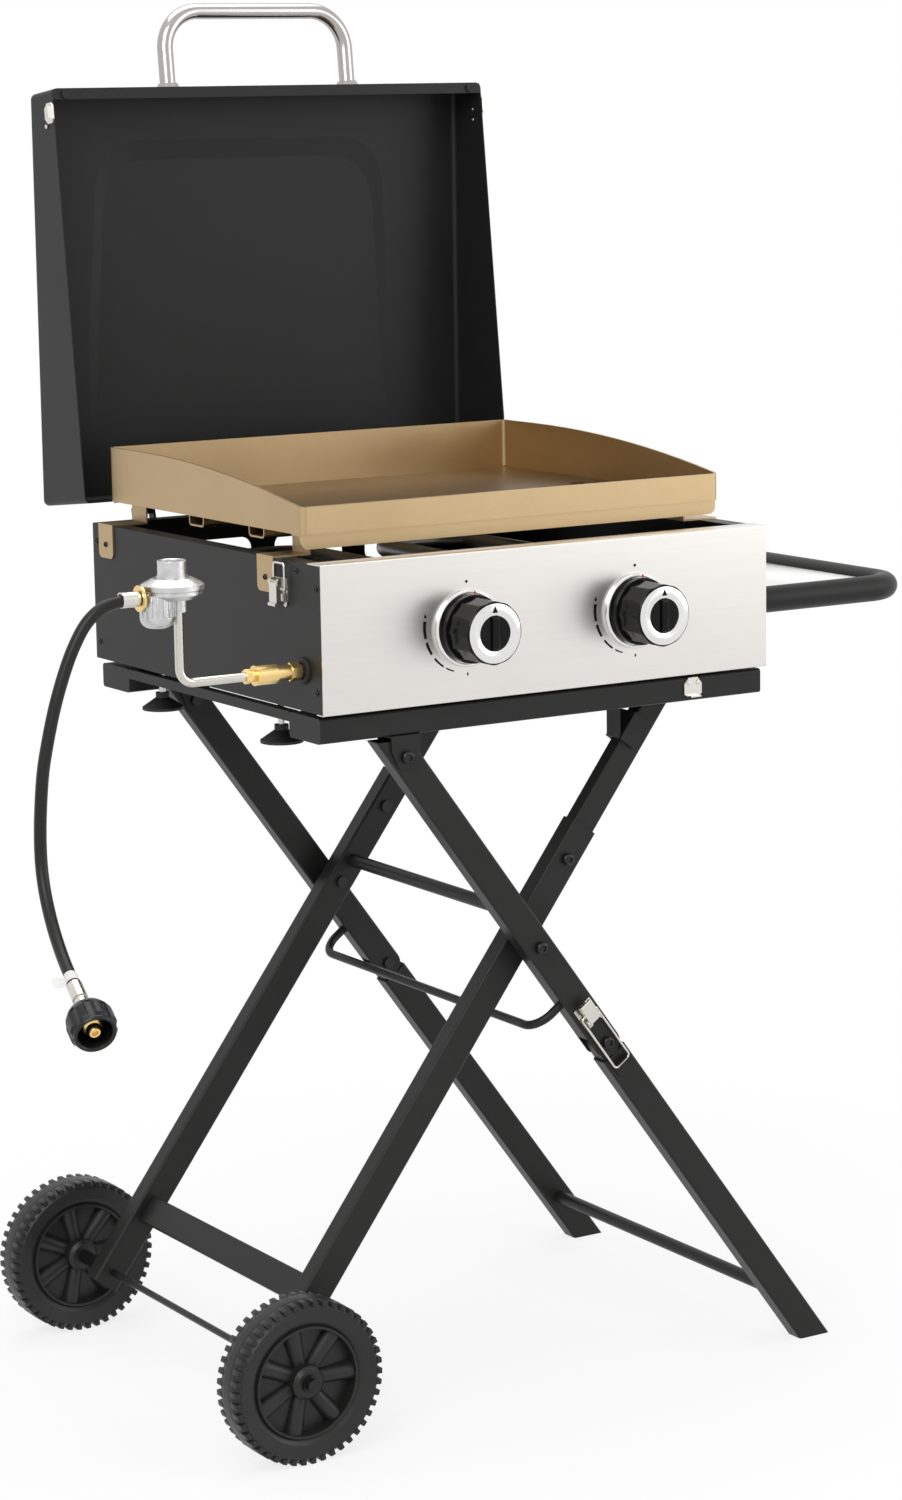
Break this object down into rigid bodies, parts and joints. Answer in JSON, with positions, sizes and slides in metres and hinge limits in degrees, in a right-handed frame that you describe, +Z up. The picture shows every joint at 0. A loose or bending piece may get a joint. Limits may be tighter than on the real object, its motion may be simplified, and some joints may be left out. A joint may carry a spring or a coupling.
{
  "type": "outdoor gas griddle station",
  "caption": "Outdoor gas griddle with a hinged lid, control knobs, regulator and hose, on a folding cross-leg cart with wheels and a side shelf that doubles as a push handle.",
  "frame": {"origin": "on the floor under the middle of the object's box, measured without the hose and its nut", "axes": "+X to the user's right, +Y to the back, +Z up"},
  "size_m": [1.236, 0.821, 1.5859],
  "materials": {
    "black_powder_coat": "matte",
    "brushed_stainless": "brushed",
    "polished_stainless": "polished",
    "bronze_plate": "satin",
    "nickel": "satin",
    "brass": "satin",
    "cast_zinc": "cast",
    "hose_rubber": "satin",
    "dark_rubber": "matte",
    "knob_plastic": "gloss",
    "wheel_plastic": "matte"
  },
  "bodies": {
    "head": {"case_shell": "black_powder_coat", "control_panel": "brushed_stainless", "bottom_pan": "black_powder_coat", "burners": "brushed_stainless", "gas_manifold": "brass", "griddle_plate": "bronze_plate", "grease_lip": "bronze_plate", "plate_stiffeners": "bronze_plate", "plate_brackets": "black_powder_coat", "latch_bases": "nickel", "lid_hinges": "black_powder_coat", "regulator_body": "cast_zinc", "regulator_bonnet": "cast_zinc", "outlet_tube": "cast_zinc", "brass_fittings": "brass", "gas_hose": "hose_rubber", "hose_end": "brass", "front_rail": "black_powder_coat", "rear_rail": "black_powder_coat", "side_bars": "black_powder_coat", "pivot_brackets": "black_powder_coat", "pivot_bolts": "nickel", "top_clips": "black_powder_coat", "rail_keeper": "nickel", "shelf_tube": "black_powder_coat", "shelf_plate": "brushed_stainless", "shelf_sockets": "black_powder_coat"},
    "lid": {"lid_shell": "black_powder_coat", "lid_handle": "polished_stainless", "lid_bumpers": "dark_rubber", "lid_keepers": "nickel", "lid_leaves": "black_powder_coat"},
    "stem_left": {"valve_stem_left": "polished_stainless"},
    "stem_right": {"valve_stem_right": "polished_stainless"},
    "knob_left": {"knob_left": "knob_plastic"},
    "knob_right": {"knob_right": "knob_plastic"},
    "outer_frame": {"outer_legs": "black_powder_coat", "stay_rod": "black_powder_coat", "fold_bolts": "nickel", "leg_latch_bases": "nickel"},
    "lower_frame": {"lower_legs": "black_powder_coat"},
    "inner_frame": {"inner_legs": "black_powder_coat", "inner_leg_tops": "black_powder_coat", "inner_bars": "black_powder_coat", "axle_and_bolts": "nickel"},
    "wheel_front": {"wheel_front": "wheel_plastic"},
    "wheel_rear": {"wheel_rear": "wheel_plastic"},
    "nut": {"gas_nut": "knob_plastic"},
    "lever_left": {"body_latch_lever_left": "nickel"},
    "bail_left": {"body_latch_bail_left": "nickel"},
    "lever_right": {"body_latch_lever_right": "nickel"},
    "bail_right": {"body_latch_bail_right": "nickel"},
    "leg_lever_front": {"leg_latch_lever_front": "nickel"},
    "leg_bail_front": {"leg_latch_bail_front": "nickel"},
    "leg_lever_rear": {"leg_latch_lever_rear": "nickel"},
    "leg_bail_rear": {"leg_latch_bail_rear": "nickel"},
    "foot_front_left": {"foot_front_left": "dark_rubber"},
    "foot_front_right": {"foot_front_right": "dark_rubber"},
    "foot_rear_left": {"foot_rear_left": "dark_rubber"},
    "foot_rear_right": {"foot_rear_right": "dark_rubber"}
  },
  "joints": [
    {"name": "lid_hinge", "type": "hinge", "parent": "head", "child": "lid", "pos_m": [-0.039, 0.2499, 0.9915], "axis": [1, 0, 0], "range_deg": [0, 96.2]},
    {"name": "knob_push_left", "type": "slide", "parent": "head", "child": "stem_left", "axis": [0, 1, 0], "range_m": [0, 0.004], "stiffness_N_per_m": 1200},
    {"name": "knob_turn_left", "type": "hinge", "parent": "stem_left", "child": "knob_left", "pos_m": [-0.15, -0.322, 0.901], "axis": [0, -1, 0], "range_deg": [0, 180]},
    {"name": "knob_push_right", "type": "slide", "parent": "head", "child": "stem_right", "axis": [0, 1, 0], "range_m": [0, 0.004], "stiffness_N_per_m": 1200},
    {"name": "knob_turn_right", "type": "hinge", "parent": "stem_right", "child": "knob_right", "pos_m": [0.072, -0.322, 0.901], "axis": [0, -1, 0], "range_deg": [0, 180]},
    {"name": "stand_fold", "type": "hinge", "parent": "head", "child": "outer_frame", "pos_m": [-0.224, -0.0355, 0.765], "axis": [0, -1, 0], "range_deg": [0, 46.5]},
    {"name": "inner_fold", "type": "hinge", "parent": "outer_frame", "child": "inner_frame", "pos_m": [-0.05196, -0.0355, 0.52907], "axis": [0, 1, 0], "range_deg": [0, 100.2]},
    {"name": "lower_fold", "type": "hinge", "parent": "outer_frame", "child": "lower_frame", "pos_m": [0.03701, -0.0355, 0.40706], "axis": [0, 1, 0], "range_deg": [0, 70]},
    {"name": "wheel_spin_front", "type": "hinge", "parent": "inner_frame", "child": "wheel_front", "pos_m": [-0.378, -0.298, 0.0925], "axis": [0, 1, 0], "continuous": true},
    {"name": "wheel_spin_rear", "type": "hinge", "parent": "inner_frame", "child": "wheel_rear", "pos_m": [-0.378, 0.252, 0.0925], "axis": [0, 1, 0], "continuous": true},
    {"name": "foot_screw_front_left", "type": "slide", "parent": "head", "child": "foot_front_left", "axis": [0, 0, 1], "range_m": [-0.005, 0.005]},
    {"name": "foot_screw_front_right", "type": "slide", "parent": "head", "child": "foot_front_right", "axis": [0, 0, 1], "range_m": [-0.005, 0.005]},
    {"name": "foot_screw_rear_left", "type": "slide", "parent": "head", "child": "foot_rear_left", "axis": [0, 0, 1], "range_m": [-0.005, 0.005]},
    {"name": "foot_screw_rear_right", "type": "slide", "parent": "head", "child": "foot_rear_right", "axis": [0, 0, 1], "range_m": [-0.005, 0.005]},
    {"name": "lever_turn_left", "type": "hinge", "parent": "head", "child": "lever_left", "pos_m": [-0.34, -0.22, 0.9585], "axis": [0, 1, 0], "range_deg": [0, 120]},
    {"name": "bail_turn_left", "type": "hinge", "parent": "lever_left", "child": "bail_left", "pos_m": [-0.3364, -0.22, 0.9505], "axis": [0, -1, 0], "range_deg": [0, 180.5]},
    {"name": "lever_turn_right", "type": "hinge", "parent": "head", "child": "lever_right", "pos_m": [0.262, -0.22, 0.9585], "axis": [0, -1, 0], "range_deg": [0, 120]},
    {"name": "bail_turn_right", "type": "hinge", "parent": "lever_right", "child": "bail_right", "pos_m": [0.2584, -0.22, 0.9505], "axis": [0, 1, 0], "range_deg": [0, 180.5]},
    {"name": "leg_lever_turn_front", "type": "hinge", "parent": "outer_frame", "child": "leg_lever_front", "pos_m": [0.01404, -0.298, 0.43857], "axis": [0.808, 0, 0.5892], "range_deg": [0, 120.5]},
    {"name": "leg_bail_turn_front", "type": "hinge", "parent": "leg_lever_front", "child": "leg_bail_front", "pos_m": [0.00932, -0.2944, 0.44504], "axis": [-0.808, 0, -0.5892], "range_deg": [0, 180.5]},
    {"name": "leg_lever_turn_rear", "type": "hinge", "parent": "outer_frame", "child": "leg_lever_rear", "pos_m": [0.01404, 0.227, 0.43857], "axis": [-0.808, 0, -0.5892], "range_deg": [0, 120.5]},
    {"name": "leg_bail_turn_rear", "type": "hinge", "parent": "leg_lever_rear", "child": "leg_bail_rear", "pos_m": [0.00932, 0.2234, 0.44504], "axis": [0.808, 0, 0.5892], "range_deg": [0, 180.5]},
    {"name": "nut_spin", "type": "hinge", "parent": "head", "child": "nut", "pos_m": [-0.68174, -0.43086, 0.56462], "axis": [-0.1585, -0.8891, -0.4295], "continuous": true}
  ],
  "couplings": [
    {"joint": "inner_fold", "follows": "stand_fold", "ratio": 2.1451},
    {"joint": "bail_turn_left", "follows": "lever_turn_left", "ratio": 1.5},
    {"joint": "bail_turn_right", "follows": "lever_turn_right", "ratio": 1.5},
    {"joint": "leg_lever_turn_front", "follows": "lower_fold", "ratio": 1.7143},
    {"joint": "leg_bail_turn_front", "follows": "lower_fold", "ratio": 2.5714},
    {"joint": "leg_lever_turn_rear", "follows": "lower_fold", "ratio": 1.7143},
    {"joint": "leg_bail_turn_rear", "follows": "lower_fold", "ratio": 2.5714}
  ]
}
